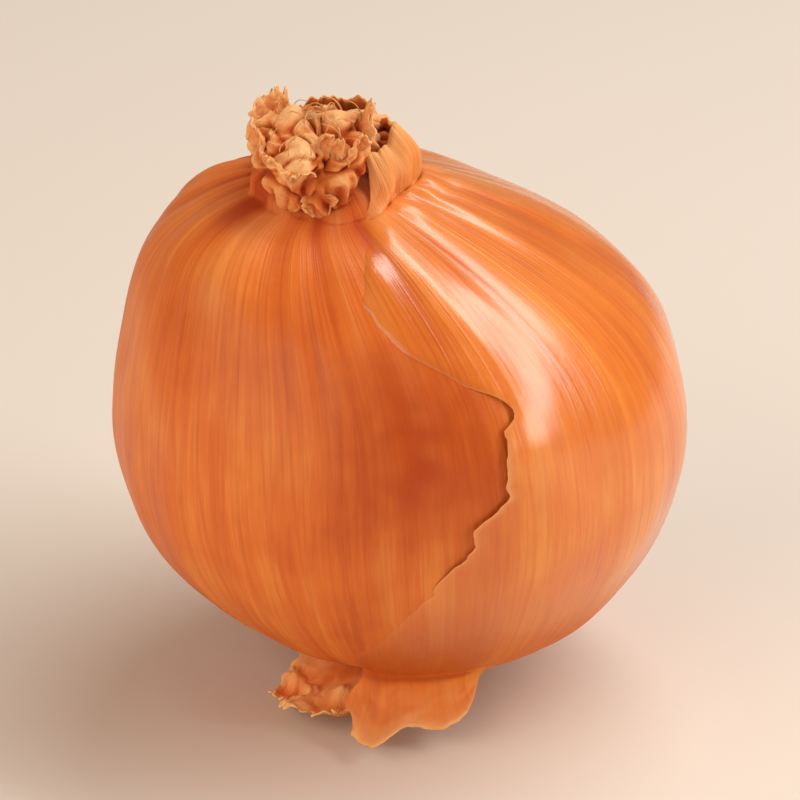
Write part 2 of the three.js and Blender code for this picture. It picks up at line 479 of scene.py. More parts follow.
# ---------------------------------------------------------------- finishes


def srgb(code: str) -> tuple[float, float, float, float]:
    """Turns a six-digit colour code into the linear colour that a shader takes."""
    values = [int(code[i:i + 2], 16) / 255 for i in (0, 2, 4)]
    linear = [v / 12.92 if v <= 0.04045 else ((v + 0.055) / 1.055) ** 2.4 for v in values]
    return (*linear, 1.0)


class Paint:
    """A material and the nodes that make its pattern."""

    def __init__(self, name: str) -> None:
        """Starts with a Principled shader and its output."""
        self.material = bpy.data.materials.new(name)
        self.material.use_nodes = True
        self.tree = self.material.node_tree
        self.shader = self.tree.nodes["Principled BSDF"]

    def add(self, kind: str, **settings: object) -> bpy.types.Node:
        """Adds a node and sets its properties and sockets.

        Args:
            kind: The node's type.
            settings: A property's name, or a socket's name with _ for a space, and its value or source.
        """
        node = self.tree.nodes.new(kind)
        properties = {key: value for key, value in settings.items() if hasattr(node, key)}
        for key, value in properties.items():
            setattr(node, key, value)
        for key, value in settings.items():
            if key not in properties:
                self.feed(node.inputs[key.replace("_", " ")], value)
        return node

    def feed(self, socket: bpy.types.NodeSocket, value: object) -> None:
        """Links a source to a socket, or sets the socket's own value."""
        if isinstance(value, bpy.types.NodeSocket):
            self.tree.links.new(value, socket)
        else:
            socket.default_value = value

    def mark(self, name: str, vector: bool = False) -> bpy.types.NodeSocket:
        """Reads an attribute of the piece."""
        node = self.add("ShaderNodeAttribute", attribute_name=name)
        return node.outputs["Vector" if vector else "Fac"]

    def place(self) -> bpy.types.NodeSocket:
        """Reads the piece's own coordinates, in metres."""
        return self.add("ShaderNodeTexCoord").outputs["Object"]

    def lumps(self, vector: bpy.types.NodeSocket, scale: float, detail: float = 3.0,
              coarse: float = 0.55) -> bpy.types.NodeSocket:
        """Noise from 0 to 1."""
        return self.add("ShaderNodeTexNoise", Vector=vector, Scale=scale, Detail=detail,
                        Roughness=coarse).outputs["Fac"]

    def lines(self, vector: bpy.types.NodeSocket, scale: float, width: float) -> bpy.types.NodeSocket:
        """Thin lines between cells, 1 on the line and 0 off it."""
        cells = self.add("ShaderNodeTexVoronoi", feature="DISTANCE_TO_EDGE", Vector=vector, Scale=scale)
        return self.span(cells.outputs["Distance"], 0.0, width, 1.0, 0.0)

    def span(self, value: bpy.types.NodeSocket, low: float, high: float, to_low: float,
             to_high: float) -> bpy.types.NodeSocket:
        """Maps a range of values to another, with smooth ends."""
        node = self.add("ShaderNodeMapRange", interpolation_type="SMOOTHSTEP", Value=value)
        for socket, number in zip(list(node.inputs)[1:5], (low, high, to_low, to_high)):
            socket.default_value = number
        return node.outputs["Result"]

    def sum(self, first: bpy.types.NodeSocket, second: bpy.types.NodeSocket | float,
            weight: float = 1.0) -> bpy.types.NodeSocket:
        """Adds weight times the first value to the second."""
        node = self.add("ShaderNodeMath", operation="MULTIPLY_ADD")
        for socket, value in zip(node.inputs, (first, weight, second)):
            self.feed(socket, value)
        return node.outputs["Value"]

    def blend(self, share: bpy.types.NodeSocket, first: object, second: object) -> bpy.types.NodeSocket:
        """Mixes two colours by a share."""
        node = self.add("ShaderNodeMix", data_type="RGBA")
        for socket, value in zip((node.inputs[0], node.inputs[6], node.inputs[7]), (share, first, second)):
            self.feed(socket, value)
        return node.outputs[2]

    def relief(self, height: bpy.types.NodeSocket, distance: float, strength: float = 1.0) -> None:
        """Raises the surface by a pattern, without moving it."""
        node = self.add("ShaderNodeBump", Strength=strength, Distance=distance, Height=height)
        self.feed(self.shader.inputs["Normal"], node.outputs["Normal"])


@dataclass(frozen=True)
class SkinFinish:
    """A dry onion skin with lines from the roots to the neck."""

    name: str
    base: str
    dark: str
    light: str
    vein: str
    pale: str
    shade_and_patch: str
    vein_strength: float = 0.4
    smooth: float = 0.34
    matte: float = 0.5
    coat: float = 0.2
    coat_roughness: float = 0.25
    coat_ior: float = 1.5
    shine: float = 0.3
    glow: float = 0.08
    relief: float = 0.05 * MM

    def make(self) -> bpy.types.Material:
        """Builds the material.

        Returns:
            A material that reads the marks grain, pale, shade_and_patch and dry of a piece; pale also gives
            painted highlights, and shade_and_patch gives painted shade and the bulb's dark spot beside the
            tear.
        """
        paint = Paint(self.name)
        grain = paint.mark("grain", vector=True)
        place = paint.place()
        streaks = paint.lumps(grain, 7.0, 4.0, 0.62)
        fine = paint.lumps(grain, 46.0, 3.0, 0.6)
        blotches = paint.lumps(place, 62.0, 3.0, 0.55)
        specks = paint.lumps(place, 900.0, 2.0, 0.6)
        veins = paint.lines(grain, 15.0, 0.11)
        veinlets = paint.lines(grain, 37.0, 0.14)
        tone = paint.sum(streaks, blotches)
        tone = paint.sum(fine, tone, 0.55)
        color = paint.blend(paint.span(tone, 1.0, 1.28, 0.0, 1.0), srgb(self.dark), srgb(self.base))
        color = paint.blend(paint.span(tone, 1.26, 1.55, 0.0, 1.0), color, srgb(self.light))
        lined = paint.sum(veinlets, paint.sum(veins, 0.0, self.vein_strength), self.vein_strength / 2)
        color = paint.blend(lined, color, srgb(self.vein))
        # Painted shade: this mark darkens creases, hollows and the places under and between parts, and on the
        # bulb it also gives the dark spot beside the tear.
        color = paint.blend(paint.mark("shade_and_patch"), color, srgb(self.shade_and_patch))
        color = paint.blend(paint.mark("pale"), color, srgb(self.pale))
        paint.feed(paint.shader.inputs["Base Color"], color)
        dry = paint.mark("dry")
        gloss = paint.sum(dry, paint.span(streaks, 0.3, 0.7, self.smooth, self.matte), 0.3)
        paint.feed(paint.shader.inputs["Roughness"], gloss)
        paint.feed(paint.shader.inputs["Coat Weight"], paint.sum(dry, self.coat, -self.coat))
        paint.shader.inputs["Specular IOR Level"].default_value = self.shine
        paint.shader.inputs["Coat Roughness"].default_value = self.coat_roughness
        paint.shader.inputs["Coat IOR"].default_value = self.coat_ior
        paint.shader.inputs["Subsurface Weight"].default_value = self.glow
        paint.shader.inputs["Subsurface Radius"].default_value = (1.0, 0.35, 0.12)
        paint.shader.inputs["Subsurface Scale"].default_value = 1.2 * MM
        height = paint.sum(veins, paint.sum(fine, specks, 1.5), 0.5)
        paint.relief(height, self.relief)
        return paint.material


@dataclass(frozen=True)
class FibreFinish:
    """Dried roots, fibres and crumbly leaf ends."""

    name: str
    base: str
    dark: str
    light: str
    roughness: float = 0.85
    lump_scale: float = 500.0
    relief: float = 0.25 * MM

    def make(self) -> bpy.types.Material:
        """Builds the material.

        Returns:
            A matte material with lumps at the scale of the fibres.
        """
        paint = Paint(self.name)
        place = paint.place()
        broad = paint.lumps(place, self.lump_scale / 3, 3.0, 0.6)
        fine = paint.lumps(place, self.lump_scale, 4.0, 0.65)
        color = paint.blend(paint.span(broad, 0.35, 0.6, 0.0, 1.0), srgb(self.dark), srgb(self.base))
        color = paint.blend(paint.span(fine, 0.5, 0.75, 0.0, 1.0), color, srgb(self.light))
        paint.feed(paint.shader.inputs["Base Color"], color)
        paint.shader.inputs["Roughness"].default_value = self.roughness
        paint.relief(paint.sum(fine, broad), self.relief)
        return paint.material


@dataclass(frozen=True)
class Finishes:
    """The finishes that the pieces share."""

    bulb: bpy.types.Material
    outer: bpy.types.Material
    neck: bpy.types.Material
    scrap: bpy.types.Material
    root: bpy.types.Material
    fibre: bpy.types.Material

    @classmethod
    def make(cls) -> "Finishes":
        """Builds every finish once."""
        # The colour listed last in each skin finish gives painted shade, and on the bulb also the dark spot
        # beside the tear. The pale colours also give painted highlights on raised folds and ridges.
        bulb = SkinFinish(
            "bulb_skin", base="d96f25", dark="c65a18", light="e38538", vein="b04c14", pale="eaa565",
            shade_and_patch="b2440f", vein_strength=0.18, smooth=0.38, matte=0.5, coat=0.12)
        outer = SkinFinish(
            "outer_skin", base="e1771f", dark="d2621a", light="ea8c35", vein="bd5818", pale="f0b476",
            shade_and_patch="b44c14", vein_strength=0.13, smooth=0.26, matte=0.36, coat=0.7, coat_roughness=0.21,
            coat_ior=1.6)
        neck = SkinFinish(
            "dried_neck", base="e08640", dark="cc6c2a", light="ec9f58", vein="b8601f", pale="f4c48c",
            shade_and_patch="a83c0c", vein_strength=0.08, smooth=0.55, matte=0.7, coat=0.0, glow=0.15)
        scrap = SkinFinish(
            "foot_scrap", base="fa9640", dark="f07e30", light="ffb060", vein="d46c2c", pale="ffd090",
            shade_and_patch="c85c1c", vein_strength=0.15, smooth=0.55, matte=0.7, coat=0.0)
        root = FibreFinish("dry_root", base="c49a66", dark="86603a", light="e0ba82")
        fibre = FibreFinish("neck_fibre", base="e0a468", dark="b87838", light="f0c48c", lump_scale=800.0)
        return cls(bulb.make(), outer.make(), neck.make(), scrap.make(), root.make(), fibre.make())


# ---------------------------------------------------------------- the bulb


@dataclass
class Bulb:
    """The swollen bulb, closed by its root plate below and a sunken neck above.

    A dark patch lies beside the torn edge of the outer skin, where the bulb sinks a little, and a short
    crease runs down from the neck. Each has an azimuth and a rise.
    """

    form: BulbForm
    finishes: Finishes
    around: int = 360
    rings_plate: int = 8
    rings_side: int = 168
    rings_hollow: int = 12
    closed_rise: float = 32.8 * MM
    dome: float = 1.5 * MM
    small_swelling: float = 0.07 * MM
    patch_at: tuple[float, float] = (math.radians(-85), 9 * MM)
    patch_half: tuple[float, float] = (math.radians(15), 12 * MM)
    sink_at: tuple[float, float] = (math.radians(-81), 6 * MM)
    sink_half: tuple[float, float] = (math.radians(9), 10 * MM)
    sink_depth: float = 0.5 * MM
    crease_at: tuple[float, float] = (math.radians(-104), 20 * MM)
    crease_half: tuple[float, float] = (math.radians(1.6), 6 * MM)
    crease_depth: float = 0.35 * MM

    def outline(self) -> tuple[np.ndarray, np.ndarray]:
        """The profile from the middle of the root plate to where it closes inside the neck.

        Returns:
            The radius and the height of each ring.
        """
        form = self.form
        top = form.share_at_height(form.equator + self.closed_rise)
        side_radius, side_height = form.lifted(np.linspace(0, top, self.rings_side), 0.0)
        plate = np.linspace(0, 1, self.rings_plate, endpoint=False)
        inward = np.linspace(0, 1, self.rings_hollow + 1)[1:]
        inner_radius = side_radius[-1] * (1 - inward)
        inner_height = side_height[-1] + self.dome * fullness(1 - inward, 2)
        radius = np.concatenate([plate * form.plate_radius, side_radius, inner_radius])
        height = np.concatenate([np.full(self.rings_plate, form.plate_height), side_height, inner_height])
        return radius, height

    def build(self) -> bpy.types.Object:
        """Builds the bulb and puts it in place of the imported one."""
        form = self.form
        radius_by_ring, height_by_ring = self.outline()
        rings = len(radius_by_ring)
        shape = Shape.tube(rings, self.around)
        unit = shape.places()
        azimuth = np.arctan2(unit[:, 1], unit[:, 0])
        ring = unit[:, 2] * (rings - 1)
        radius = np.interp(ring, np.arange(rings), radius_by_ring)
        height = np.interp(ring, np.arange(rings), height_by_ring)
        smooth = form.grow(radius, azimuth, height)
        rise = height - form.equator
        swell = form.swell(smooth) + rough(smooth, 7 * MM, Pattern.SMALL_SWELL) * self.small_swelling
        lift = (form.ribs(azimuth, height) + swell) * ease(radius, 0.4 * form.plate_radius, form.neck_radius)
        crease = spot(azimuth, rise, self.crease_at, self.crease_half)
        lift -= self.sink_depth * spot(azimuth, rise, self.sink_at, self.sink_half)
        lift -= self.crease_depth * crease
        shape.move(form.grow(radius + lift, azimuth, height))
        pleats = form.pleats(azimuth, height)
        at_knot = ease(rise, 27.5 * MM, 31.5 * MM)
        ragged = 1 + 0.3 * rough(smooth, 9 * MM, Pattern.PATCH_RIM)
        ragged = ragged + 0.15 * rough(smooth, 2.5 * MM, Pattern.PATCH_SPECKS)
        shade_and_patch = spot(azimuth, rise, self.patch_at, self.patch_half) * ragged
        # Painted shade: darker in the pleat troughs, where the bulb meets the knot and along the crease,
        # added on top of the dark spot beside the tear.
        shade_and_patch = shade_and_patch + 0.7 * np.clip(-pleats, 0, 1) + 0.55 * at_knot + 0.4 * crease
        shape.marks["grain"] = form.grain(azimuth, height)
        # Painted light: paler on the pleat ridges.
        shape.marks["pale"] = 0.22 * np.clip(pleats, 0, 1)
        shape.marks["dry"] = np.clip(at_knot + ease(-rise, *form.dry_foot), 0, 1)
        shape.marks["shade_and_patch"] = np.clip(shade_and_patch, 0, 1)
        return place_piece(shape.finish("bulb_body", self.finishes.bulb), Slot.BULB_SKIN, "bulb")


# ---------------------------------------------------------------- the outer skin


@dataclass
class SkinSpread:
    """Where each point of the outer skin lies on the bulb, before it is lifted off.

    The curl runs from 0 at the hem to 1 at the tip of the flap. The distances are from the front and the
    back torn edge.
    """

    upward: np.ndarray
    curl: np.ndarray
    share: np.ndarray
    azimuth: np.ndarray
    height: np.ndarray
    rise: np.ndarray
    from_front: np.ndarray
    from_back: np.ndarray
    beside_patch: np.ndarray
    in_neck: np.ndarray


@dataclass
class OuterSkin:
    """The torn, glossy outer skin over the right side and the back, with a flap at its foot.

    The tears are stops of rise in millimetres and azimuth in degrees. The flap's reach is stops of azimuth
    in degrees and share of its length. The flap's bend and tip are a radius and a height.
    """

    form: BulbForm
    finishes: Finishes
    columns: int = 210
    rows: int = 170
    edge_crowding: float = 0.55
    thickness: float = 0.16 * MM
    rest_lift: float = 0.16 * MM
    edge_lift: float = 0.4 * MM
    edge_reach: float = 1.4 * MM
    wide_lift: float = 0.25 * MM
    wide_reach: float = 5 * MM
    loose_lift: float = 0.25 * MM
    front_sink: float = 0.65 * MM
    back_sink: float = 0.6 * MM
    neck_sink: float = 1.2 * MM
    sink_reach: float = 0.8 * MM
    neck_fold: float = 0.8 * MM
    neck_fold_at: tuple[float, float] = (2.4 * MM, 1.5 * MM)
    neck_wrinkle: float = 0.45 * MM
    neck_from: tuple[float, float] = (28 * MM, 33 * MM)
    foot_radius: float = 20.5 * MM
    top_drop: float = 1.2 * MM
    top_reach: float = 1.5 * MM
    top_close: float = 5.0 * MM
    flap_share: float = 0.13
    flap_bend: tuple[float, float] = (18 * MM, 3.2 * MM)
    flap_tip: tuple[float, float] = (28.3 * MM, 1.9 * MM)
    flap_wave: tuple[float, float] = (1.3 * MM, 0.6 * MM)
    hem_tuck: float = 3.0
    free_side_nicks: float = math.radians(3)
    free_side_bulge: float = math.radians(7)
    flap_reach: tuple[tuple[float, float], ...] = (
        (-112, 0.86), (-104, 0.9), (-100, 0.92), (-97, 0.86), (-93, 0.74), (-88, 0.71), (-83, 0.73),
        (-77, 0.64), (-70, 0.42), (-64, 0.18), (-58, 0), (-48, 0))
    front_tear: tuple[tuple[float, float], ...] = (
        (-27, -106), (-20, -102), (-13.5, -91), (-6.3, -81), (-1, -75), (4.5, -69), (9.5, -69), (14.2, -64),
        (17.2, -72), (20.8, -82), (24, -87), (28.2, -79), (31, -68), (34, -58), (38, -50))
    back_tear: tuple[tuple[float, float], ...] = (
        (-27, 112), (-21, 120), (-9, 132), (-2, 124), (6, 121), (14, 133), (21, 139), (28, 128), (40, 112))

    def tear(self, stops: tuple[tuple[float, float], ...], rise: np.ndarray, pattern: int) -> np.ndarray:
        """Azimuth of a torn edge.

        Args:
            stops: Pairs of rise in millimetres and azimuth in degrees.
            rise: Rise of each point.
            pattern: Picks the edge's raggedness.

        Returns:
            The azimuth of the edge beside each point.
        """
        azimuth = through(stops, rise / MM)
        line = beside(rise)
        ragged = 1.5 * rough(line, 4.2 * MM, pattern) + 0.7 * rough(line, 1.3 * MM, pattern + 1)
        return np.radians(azimuth + ragged)

    def spread(self, unit: np.ndarray) -> SkinSpread:
        """Spreads the flat sheet between its foot, its top and its two torn edges.

        Args:
            unit: Points of the flat sheet, from 0 to 1 across and upwards.

        Returns:
            Where they lie on the bulb.
        """
        form = self.form
        crowded = (1 - np.cos(math.pi * unit[:, 0])) / 2
        across = (1 - self.edge_crowding) * unit[:, 0] + self.edge_crowding * crowded
        upward = unit[:, 1]
        curl = np.clip(1 - upward / self.flap_share, 0, 1)
        foot = form.share_at_radius(self.foot_radius)
        top = form.share_at_height(form.rim_height - self.top_drop)
        share = foot + (top - foot) * np.clip((upward - self.flap_share) / (1 - self.flap_share), 0, 1)
        _, height = form.lifted(share, 0.0)
        rise = height - form.equator
        line = beside(curl)
        nicks = rough(line, 0.5, Pattern.FREE_SIDE) + 0.5 * rough(line, 0.16, Pattern.FREE_SIDE_NICKS)
        front = self.tear(self.front_tear, rise, Pattern.FRONT_TEAR)
        front = front + self.free_side_nicks * curl * nicks
        front = front - self.free_side_bulge * bump(curl, 0.62, 0.3)
        back = self.tear(self.back_tear, rise, Pattern.BACK_TEAR)
        azimuth = front + (back - front) * across
        radius = form.radius_at(height)
        return SkinSpread(upward, curl, share, azimuth, height, rise, from_front=(azimuth - front) * radius,
                          from_back=(back - azimuth) * radius, beside_patch=bump(rise, 5 * MM, 10 * MM),
                          in_neck=ease(rise, *self.neck_from))

    def lift(self, at: SkinSpread) -> np.ndarray:
        """How far each point stands off the smooth bulb: torn edges stand up beside the dark patch."""
        form = self.form
        plain = form.grow(form.radius_at(at.height), at.azimuth, at.height)
        waves = np.clip(1 + 0.9 * rough(plain, 6 * MM, Pattern.EDGE_WAVES), 0.1, 2)
        edge = (0.3 + 0.7 * at.beside_patch) * fade(at.from_front, self.edge_reach)
        edge = edge + 0.35 * fade(at.from_back, self.edge_reach)
        lift = self.rest_lift + edge * self.edge_lift * waves
        lift += at.beside_patch * fade(at.from_front, self.wide_reach) * self.wide_lift
        lift += np.maximum(0, rough(plain, 15 * MM, Pattern.LOOSE_SKIN)) * self.loose_lift
        lift += form.ribs(at.azimuth, at.height) + form.swell(plain)
        lift -= self.front_sink * (1 - at.beside_patch) * fade(at.from_front, self.sink_reach)
        lift -= self.back_sink * fade(at.from_back, self.sink_reach)
        lift -= at.in_neck * self.neck_sink * fade(at.from_front, self.sink_reach)
        lift += at.in_neck * self.neck_fold * bump(at.from_front, *self.neck_fold_at)
        wrinkles = rough(plain, (2.4 * MM, 2.4 * MM, 7 * MM), Pattern.NECK_FOLDS)
        return lift + at.in_neck * self.neck_wrinkle * wrinkles

    def flap_length(self, at: SkinSpread) -> np.ndarray:
        """Share of the flap's full length that is left at each point's azimuth."""
        around = beside(at.azimuth)
        nicks = 0.06 * rough(around, 0.14, Pattern.FLAP_EDGE)
        nicks = nicks + 0.02 * rough(around, 0.035, Pattern.FLAP_NICKS)
        return np.clip(through(self.flap_reach, np.degrees(at.azimuth)) * (1 + nicks), 0, 1)

    def flap(self, at: SkinSpread, lift: np.ndarray) -> tuple[np.ndarray, np.ndarray]:
        """The radius and height of each point if it lies on the flap, which curls out from the hem.

        Args:
            at: Where the sheet is spread.
            lift: How far it stands off the bulb.

        Returns:
            The radii and the heights.
        """
        form = self.form
        curl = at.curl
        foot = form.share_at_radius(self.foot_radius)
        hem = form.lifted(foot * (1 - curl / self.hem_tuck), lift)
        start = form.lifted(np.full_like(curl, foot), lift)
        line = beside(at.azimuth * 20 * MM, curl * 8 * MM)
        creases = ridges(rough(line, 2.4 * MM, Pattern.FLAP_CREASES), 2)
        wavy = rough(line, 3.8 * MM, Pattern.FLAP_WAVES) + 0.4 * creases
        length = self.flap_length(at)
        found = []
        for k in range(2):
            path = (1 - curl) ** 2 * start[k] + 2 * curl * (1 - curl) * self.flap_bend[k]
            path = path + curl**2 * self.flap_tip[k] + curl * self.flap_wave[k] * wavy
            found.append(hem[k] + (path - hem[k]) * length)
        return found[0], found[1]

    def dress(self, shape: Shape, at: SkinSpread) -> None:
        """Marks the pale edges and the dry ends of the sheet. It also paints highlights on the torn lip and
        the pleat ridges, and paints shade in the folds, in the neck crevice and towards the bottom.
        """
        form = self.form
        curl, length = at.curl, self.flap_length(at)
        tip_edge = fade(1 - curl, 0.1) * ease(length, 0.1, 0.4)
        top_edge = fade(1 - at.upward, 0.01875)
        # The torn lip is a pale papery edge. Beside the dark spot it is also a painted highlight, where it
        # catches the light.
        lip = (0.06 + 0.94 * at.beside_patch) * fade(at.from_front, 0.45 * MM)
        lip = lip + 0.1 * fade(at.from_back, 0.45 * MM)
        pleats = form.pleats(at.azimuth, at.height)
        pale = 0.7 * (lip + tip_edge + top_edge) + 0.1 * ease(at.rise, 24 * MM, 34 * MM)
        # Paler on the flap; painted light on the pleat ridges.
        pale = pale + 0.55 * curl * length + 0.2 * np.clip(pleats, 0, 1)
        # Painted shade: darker towards the bottom, in the pleat troughs, along the fold where the flap turns
        # out under the bulb, and in the crevice at the neck.
        shade_and_patch = 0.38 * ease(-at.rise, 8 * MM, 22 * MM) * (curl <= 0) + 0.6 * np.clip(-pleats, 0, 1)
        shade_and_patch = shade_and_patch + 0.9 * bump(curl, 0.1, 0.09) * ease(length, 0.2, 0.5)
        shade_and_patch = shade_and_patch + 0.8 * at.in_neck * fade(at.from_front, 0.7 * MM)
        shape.marks["grain"] = form.grain(at.azimuth, at.height - curl * 5 * MM)
        shape.marks["pale"] = np.clip(pale, 0, 1)
        shape.marks["shade_and_patch"] = np.clip(shade_and_patch, 0, 1)
        shape.marks["dry"] = np.clip(ease(at.rise, 28 * MM, 34 * MM) + ease(-at.rise, *form.dry_foot), 0, 1)

    def build(self) -> bpy.types.Object:
        """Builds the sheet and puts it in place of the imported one."""
        form = self.form
        shape = Shape.sheet(self.columns, self.rows)
        at = self.spread(shape.places())
        lift = self.lift(at)
        belly = form.lifted(at.share, lift)
        flap = self.flap(at, lift)
        around = beside(at.azimuth)
        ragged = 1 + 0.6 * rough(around, 0.3, Pattern.TOP_EDGE) + 0.2 * rough(around, 0.08, Pattern.TOP_NICKS)
        radius = np.where(at.curl > 0, flap[0], belly[0])
        radius = radius - self.top_close * ease(at.rise, 33 * MM, 41 * MM) ** 2
        height = np.where(at.curl > 0, flap[1], belly[1])
        height = height + ease(at.rise, 31 * MM, 38 * MM) * self.top_reach * ragged
        shape.move(form.grow(radius, at.azimuth, height))
        self.dress(shape, at)
        shape.face_out()
        piece = shape.finish("outer_skin_sheet", self.finishes.outer)
        thicken(piece, self.thickness)
        return place_piece(piece, Slot.OUTER_SKIN, "outer_skin")


# ---------------------------------------------------------------- the neck


@dataclass(frozen=True)
class Flake:
    """One dried leaf end that curls out of the knot. Sizes are in millimetres and degrees."""

    name: str
    azimuth: float
    climb: float
    width: float
    length: float
    curl: float
    stand: float
    spin: float
    seed: int
    pale: float = 0.5
    sink: float = 0.9
    cup: float = 0.5


# Each row: name, azimuth, climb, width, length, curl, stand, spin, seed.
FLAKES = (
    Flake("neck_flake_peak", 139, 36, 7.6, 3.4, 12, 54, 14, 41, pale=0.75, cup=0.15),
    Flake("neck_flake_left", 198, 20, 4.6, 4.4, 25, 14, 8, 43, pale=0.6, cup=0.2),
    Flake("neck_flake_front_left", 232, 22, 4.0, 3.6, 60, 12, -25, 45, pale=0.6, cup=0.3),
    Flake("neck_flake_front", 262, 20, 3.6, 3.4, 80, 14, 30, 49, pale=0.65, cup=0.3),
    Flake("neck_flake_low_front", 275, -2, 4.2, 3.0, 60, 12, 190, 51, pale=0.45, cup=0.3),
    Flake("neck_flake_top_front", 288, 46, 4.0, 3.2, 60, 24, -30, 53, pale=0.7, cup=0.3),
    Flake("neck_flake_right", 322, 30, 4.0, 3.8, 40, 16, 15, 55, pale=0.6, cup=0.3),
    Flake("neck_flake_top", 80, 60, 4.4, 2.2, 40, 30, 20, 57, pale=0.6),
    Flake("neck_flake_top_right", 8, 33, 6.0, 4.2, 25, 44, -6, 59, pale=0.65, cup=0.25),
    Flake("neck_flake_back", 105, 26, 5.0, 2.2, 30, 26, 12, 61, pale=0.5),
)


@dataclass
class Knot:
    """The dried neck: crumpled leaf ends pressed into a knot, with flakes that curl out of it.

    It is a rounded box that leans forwards by fall, sinks by saddle at the middle of its back edge and
    narrows by taper towards its foot.
    """

    finishes: Finishes
    name: str = "neck_knot"
    flakes: tuple[Flake, ...] = ()
    middle: Vector = field(default_factory=lambda: Vector((-11.6, -2.2, 68.6)) * MM)
    half: tuple[float, float, float] = (7.2 * MM, 6.4 * MM, 5.2 * MM)
    squareness: float = 3.0
    fall: float = 0.38
    saddle: float = 2.8 * MM
    saddle_at: tuple[float, float] = (0.9 * MM, 6.5 * MM)
    taper: float = 0.55
    drift: float = 1.6 * MM
    fold_at: tuple[float, float] = (math.radians(-28), math.radians(34))
    rings: int = 170
    around: int = 300
    flake_cells: int = 44
    flake_thickness: float = 0.22 * MM
    flake_pale_edge: float = 1 / 7
    fibres: int = 34
    fibre_steps: int = 10
    fibre_tip: float = 0.04 * MM
    seed: int = 6

    def rounded(self, azimuth: np.ndarray, climb: np.ndarray) -> np.ndarray:
        """The knot's smooth shape.

        Args:
            azimuth: Direction around Z of each point.
            climb: Angle over the level plane of each point.

        Returns:
            The places relative to the middle, one row each.
        """
        level = np.cos(climb)
        unit = np.stack([level * np.cos(azimuth), level * np.sin(azimuth), np.sin(climb)], axis=1)
        power = self.squareness
        size = (np.abs(unit) ** power).sum(axis=1, keepdims=True) ** (-1 / power)
        place = unit * size * np.array(self.half)
        place[:, 0] *= 1 - self.taper * ease(-place[:, 2] / self.half[2], -0.3, 1.0)
        behind = ease(place[:, 1] / self.half[1], 0.0, 0.9) * ease(place[:, 2] / self.half[2], 0.0, 0.6)
        dip = self.saddle * behind * bump(place[:, 0], *self.saddle_at)
        place[:, 2] += self.fall * place[:, 1] - dip
        return place

    def crumple(self, place: np.ndarray) -> tuple[np.ndarray, np.ndarray]:
        """The folds of the crumpled leaf ends.

        Args:
            place: Points of the smooth shape.

        Returns:
            The height of the folds, and how deep each point lies in a crease from 0 to 1.
        """
        drift = np.stack([rough(place, 5 * MM, Pattern.KNOT_DRIFT + i) for i in range(3)], axis=1)
        warped = place + drift * self.drift
        broad = rough(warped, (5 * MM, 5 * MM, 6.5 * MM), Pattern.KNOT_BROAD)
        folds = ridges(rough(warped, (3.6 * MM, 3.6 * MM, 5 * MM), Pattern.KNOT_FOLDS), 2.2)
        small = ridges(rough(warped, 2.0 * MM, Pattern.KNOT_SMALL), 2.2)
        crumbs = rough(place, 0.9 * MM, Pattern.KNOT_CRUMBS)
        lines = ridges(rough(warped, (4.6 * MM, 4.6 * MM, 7 * MM), Pattern.KNOT_CREASES), 5)
        crease = np.clip(lines, 0, 1) ** 1.5
        height = (0.85 * broad - 0.42 * folds + 0.2 * small + 0.07 * crumbs - 0.8 * crease) * MM
        deep = np.clip(crease + 0.45 * np.clip(folds, 0, 1) - 0.4 * broad - 0.3 * small, 0, 1)
        return height, deep

    def body(self) -> bpy.types.Object:
        """Builds the crumpled knot."""
        shape = Shape.tube(self.rings, self.around)
        unit = shape.places()
        azimuth = np.arctan2(unit[:, 1], unit[:, 0])
        climb = (unit[:, 2] - 0.5) * math.pi
        smooth = self.rounded(azimuth, climb)
        outward = smooth / np.linalg.norm(smooth, axis=1, keepdims=True)
        height, deep = self.crumple(smooth)
        shape.move(smooth + outward * height[:, None] + np.array(self.middle))
        swirl = azimuth + 0.5 * climb
        depth = -smooth[:, 2] / self.half[2]
        low = ease(depth, -0.2, 1.0)
        beside_fold = bump(azimuth, *self.fold_at) * ease(depth, -0.6, 0.3)
        # Painted light and shade: paler on the raised folds; darker in the creases, on the lower part of the
        # knot and beside the inner fold.
        pale = 0.48 + 0.5 * height / MM - 0.7 * deep - 0.45 * low - 0.4 * beside_fold
        shape.marks["grain"] = np.stack([np.cos(swirl), np.sin(swirl), climb * 0.3], axis=1)
        shape.marks["pale"] = np.clip(pale, 0, 0.9)
        shape.marks["shade_and_patch"] = np.clip(deep + 0.3 * low + 0.75 * beside_fold - 0.2, 0, 1)
        shape.marks["dry"] = np.ones_like(azimuth)
        return place_piece(shape.finish(self.name, self.finishes.neck), Slot.BULB_SKIN)

    def anchor(self, azimuth: float, climb: float, sink: float) -> tuple[np.ndarray, Matrix]:
        """A place just under the knot's surface and the directions across, up and out of it.

        Args:
            azimuth: Direction around Z.
            climb: Angle over the level plane.
            sink: Depth under the smooth surface.

        Returns:
            The place, and a matrix whose columns are the three directions.
        """
        place = self.rounded(np.array([azimuth]), np.array([climb]))[0]
        out = Vector(place / np.array(self.half) ** 2).normalized()
        up = (Vector((0, 0, 1)) - out * out.z).normalized()
        turn = Matrix((up.cross(out), up, out)).transposed()
        return place + np.array(self.middle) - np.array(out) * sink, turn

